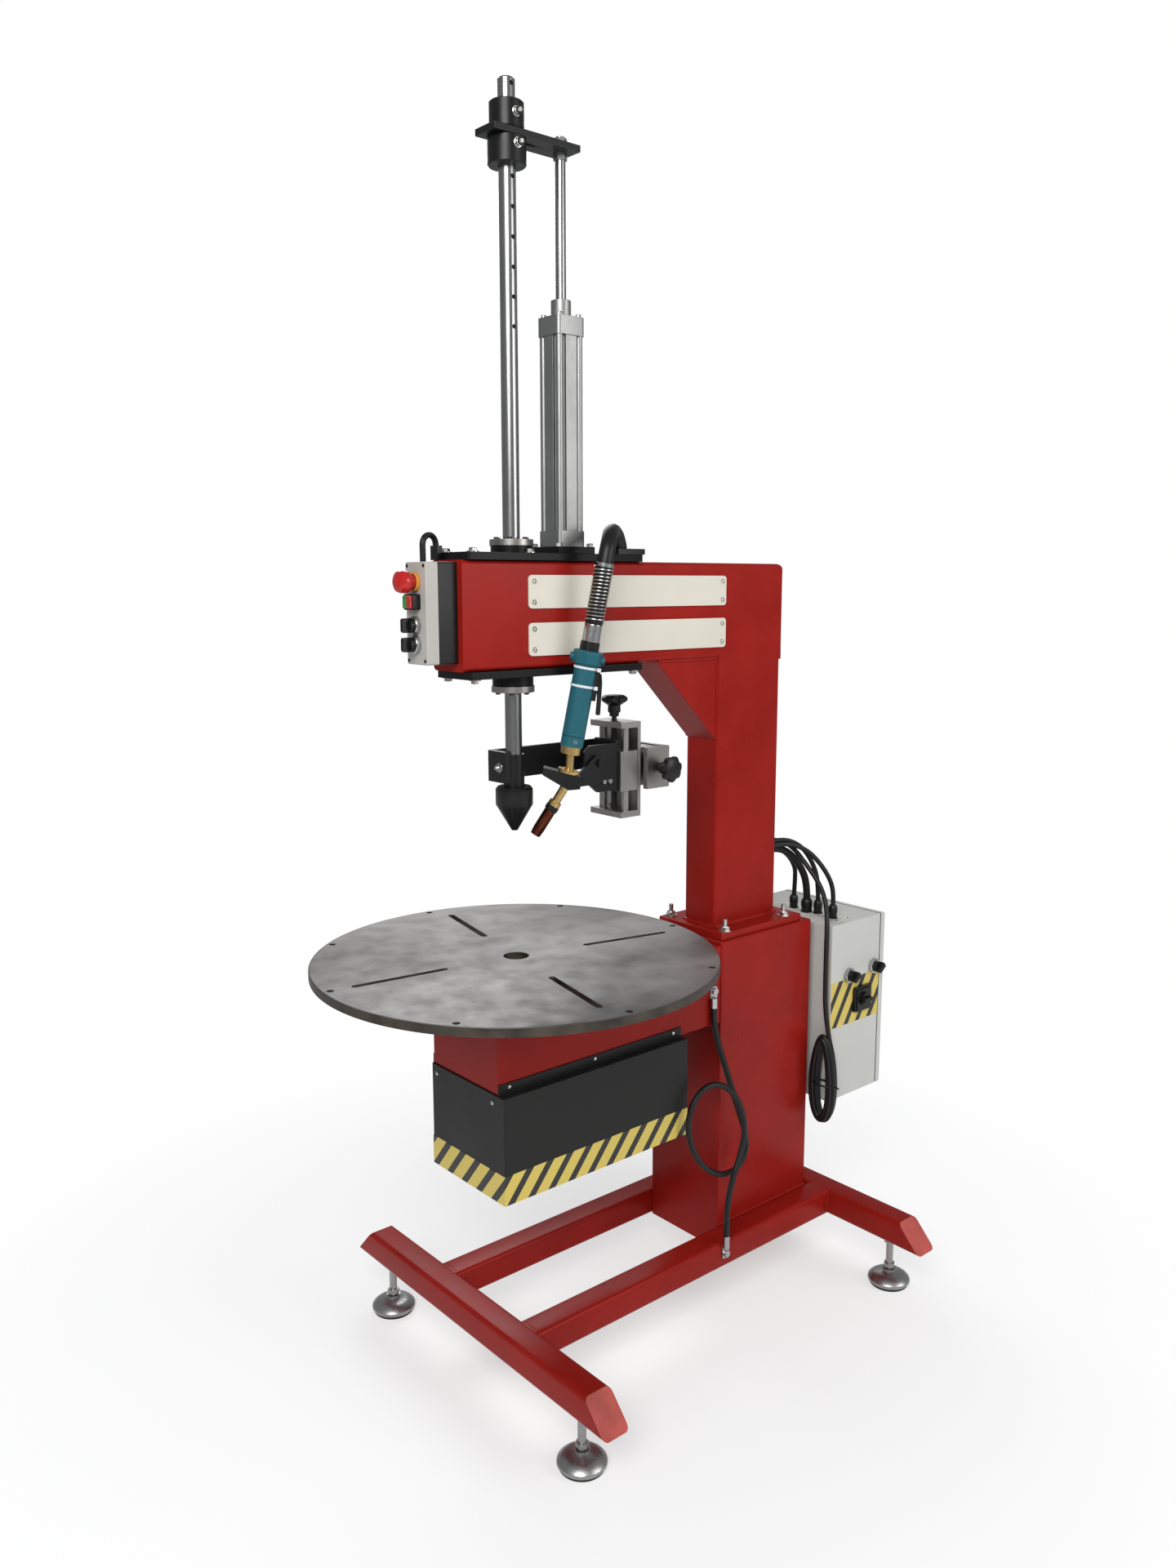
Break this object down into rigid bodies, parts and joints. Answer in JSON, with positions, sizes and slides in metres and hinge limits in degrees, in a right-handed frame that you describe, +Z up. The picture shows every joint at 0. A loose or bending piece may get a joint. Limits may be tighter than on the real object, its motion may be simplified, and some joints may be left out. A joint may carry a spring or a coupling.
{
  "type": "workpiece positioner",
  "caption": "Floor-standing C-frame workpiece positioner: a driven round table under a pneumatic quill with a live centre and a torch on two hand-set slides.",
  "frame": {"origin": "centre of the underside of the box round the whole machine without its cords, on the floor, between the two sides", "axes": "+Z up along the quill; -Y towards the operator's side with the push buttons; +X towards the side with the plates and the main switch"},
  "size_m": [0.844, 1.3953, 2.47],
  "materials": {
    "red_paint": "satin, slight orange peel",
    "black_paint": "satin",
    "black_oxide": "black oxide",
    "steel": "ground",
    "mill_steel": "mill scale with swirl grinding",
    "chrome_shaft": "ground chrome",
    "nickel": "zinc plate",
    "aluminium": "anodised",
    "rubber": "matt",
    "off_white": "semi-gloss",
    "light_grey": "textured",
    "grey_plastic": "satin",
    "black_plastic": "satin",
    "red_plastic": "gloss",
    "green_plastic": "gloss",
    "teal_plastic": "moulded",
    "brass": "machined",
    "copper": "heat-darkened copper",
    "cover_grey": "satin, striped edge",
    "gear_steel": "oiled"
  },
  "bodies": {
    "frame": {"cross_legs": "red_paint", "base_beams": "red_paint", "levelling_feet": "nickel", "foot_rubbers": "rubber", "pedestal": "red_paint", "column": "red_paint", "arm": "red_paint", "arm_plates": "black_paint", "quill_bushes": "steel", "cylinder_body": "aluminium", "table_beam": "red_paint", "table_bearings": "black_oxide", "drive_cover": "cover_grey", "gearmotor": "black_paint", "control_box_base": "black_plastic", "control_box_cover": "grey_plastic", "control_bezels": "black_plastic", "cabinet_shell": "light_grey", "cabinet_gear": "steel", "cable_glands": "black_plastic", "nameplates": "off_white", "hose_anchor": "black_oxide", "earth_lugs": "nickel", "earth_cable": "rubber", "cabinet_cables": "rubber", "coil_lead": "rubber", "cable_coil": "rubber", "control_cable": "rubber", "torch_hose": "rubber"},
    "table": {"table_plate": "mill_steel", "table_shaft": "steel", "driven_gear": "gear_steel"},
    "pinion": {"drive_pinion": "gear_steel"},
    "quill": {"quill_shaft": "chrome_shaft", "cross_head": "black_oxide", "piston_rod": "chrome_shaft", "torch_arm": "black_oxide", "cross_slide_frame": "steel"},
    "centre": {"live_centre": "black_oxide"},
    "cross_slide": {"cross_carriage": "steel", "lift_slide_frame": "steel"},
    "cross_knob": {"cross_screw": "black_plastic"},
    "lift_slide": {"lift_carriage": "steel", "torch_bracket": "black_oxide"},
    "lift_knob": {"lift_screw": "black_plastic"},
    "torch": {"torch_clamp": "black_oxide", "torch_handle": "teal_plastic", "torch_neck": "brass", "torch_nozzle": "copper", "torch_fittings": "black_plastic"},
    "lever": {"torch_lever": "black_plastic"},
    "estop": {"estop_button": "red_plastic"},
    "start": {"start_button": "green_plastic"},
    "stop": {"stop_button": "red_plastic"},
    "upper_selector": {"selector_upper": "black_plastic"},
    "lower_selector": {"selector_lower": "black_plastic"},
    "front_cabinet_knob": {"cabinet_knob_front": "black_plastic"},
    "rear_cabinet_knob": {"cabinet_knob_rear": "black_plastic"},
    "isolator": {"main_switch": "red_plastic"},
    "door": {"cabinet_door": "light_grey"}
  },
  "joints": [
    {"name": "table_spin", "type": "hinge", "parent": "frame", "child": "table", "pos_m": [0, -0.29665, 0.86], "axis": [0, 0, 1], "continuous": true},
    {"name": "pinion_spin", "type": "hinge", "parent": "frame", "child": "pinion", "pos_m": [0, -0.18865, 0.605], "axis": [0, 0, 1], "continuous": true},
    {"name": "quill_travel", "type": "slide", "parent": "frame", "child": "quill", "axis": [0, 0, 1], "range_m": [-0.17, 0.035], "deforming": ["torch_hose"]},
    {"name": "centre_spin", "type": "hinge", "parent": "quill", "child": "centre", "pos_m": [0, -0.29665, 1.19], "axis": [0, 0, 1], "continuous": true},
    {"name": "cross_travel", "type": "slide", "parent": "quill", "child": "cross_slide", "axis": [1, 0, 0], "range_m": [-0.008, 0.02]},
    {"name": "cross_knob_turn", "type": "hinge", "parent": "quill", "child": "cross_knob", "pos_m": [0.09, 0.00135, 1.225], "axis": [1, 0, 0], "range_deg": [-1450, 3610]},
    {"name": "lift_travel", "type": "slide", "parent": "cross_slide", "child": "lift_slide", "axis": [0, 0, 1], "range_m": [-0.025, 0.015]},
    {"name": "lift_knob_turn", "type": "hinge", "parent": "cross_slide", "child": "lift_knob", "pos_m": [0.028, -0.06465, 1.32], "axis": [0, 0, 1], "range_deg": [-4510, 2710]},
    {"name": "torch_tilt", "type": "hinge", "parent": "lift_slide", "child": "torch", "pos_m": [0.068, -0.14465, 1.246], "axis": [1, 0, 0], "range_deg": [-5, 12]},
    {"name": "lever_press", "type": "hinge", "parent": "torch", "child": "lever", "pos_m": [0.10446, -0.17348, 1.41675], "axis": [-0.7627, 0.6468, 0], "range_deg": [0, 5], "stiffness_Nm_per_rad": 0.8, "springref_deg": -5.73},
    {"name": "estop_press", "type": "slide", "parent": "frame", "child": "estop", "axis": [0, 1, 0], "range_m": [0, 0.005], "stiffness_N_per_m": 800, "springref_m": -0.001},
    {"name": "start_press", "type": "slide", "parent": "frame", "child": "start", "axis": [0, 1, 0], "range_m": [0, 0.003], "stiffness_N_per_m": 600, "springref_m": -0.0005},
    {"name": "stop_press", "type": "slide", "parent": "frame", "child": "stop", "axis": [0, 1, 0], "range_m": [0, 0.003], "stiffness_N_per_m": 600, "springref_m": -0.0005},
    {"name": "upper_selector_turn", "type": "hinge", "parent": "frame", "child": "upper_selector", "pos_m": [0, -0.50865, 1.519], "axis": [0, -1, 0], "range_deg": [-45, 45]},
    {"name": "lower_selector_turn", "type": "hinge", "parent": "frame", "child": "lower_selector", "pos_m": [0, -0.50865, 1.485], "axis": [0, -1, 0], "range_deg": [-45, 45]},
    {"name": "front_cabinet_knob_turn", "type": "hinge", "parent": "frame", "child": "front_cabinet_knob", "pos_m": [0.15, 0.56335, 0.683], "axis": [1, 0, 0], "range_deg": [-90, 45]},
    {"name": "rear_cabinet_knob_turn", "type": "hinge", "parent": "frame", "child": "rear_cabinet_knob", "pos_m": [0.15, 0.65635, 0.688], "axis": [1, 0, 0], "range_deg": [-90, 45]},
    {"name": "isolator_turn", "type": "hinge", "parent": "frame", "child": "isolator", "pos_m": [0.15, 0.61235, 0.618], "axis": [1, 0, 0], "range_deg": [0, 90]},
    {"name": "door_swing", "type": "hinge", "parent": "frame", "child": "door", "pos_m": [-0.157, 0.68135, 0.599], "axis": [0, 0, 1], "range_deg": [0, 110]}
  ],
  "couplings": [
    {"joint": "pinion_spin", "follows": "table_spin", "ratio": -3},
    {"joint": "cross_knob_turn", "follows": "cross_travel", "rad_per_m": 3141.6},
    {"joint": "lift_knob_turn", "follows": "lift_travel", "rad_per_m": 3141.6}
  ]
}
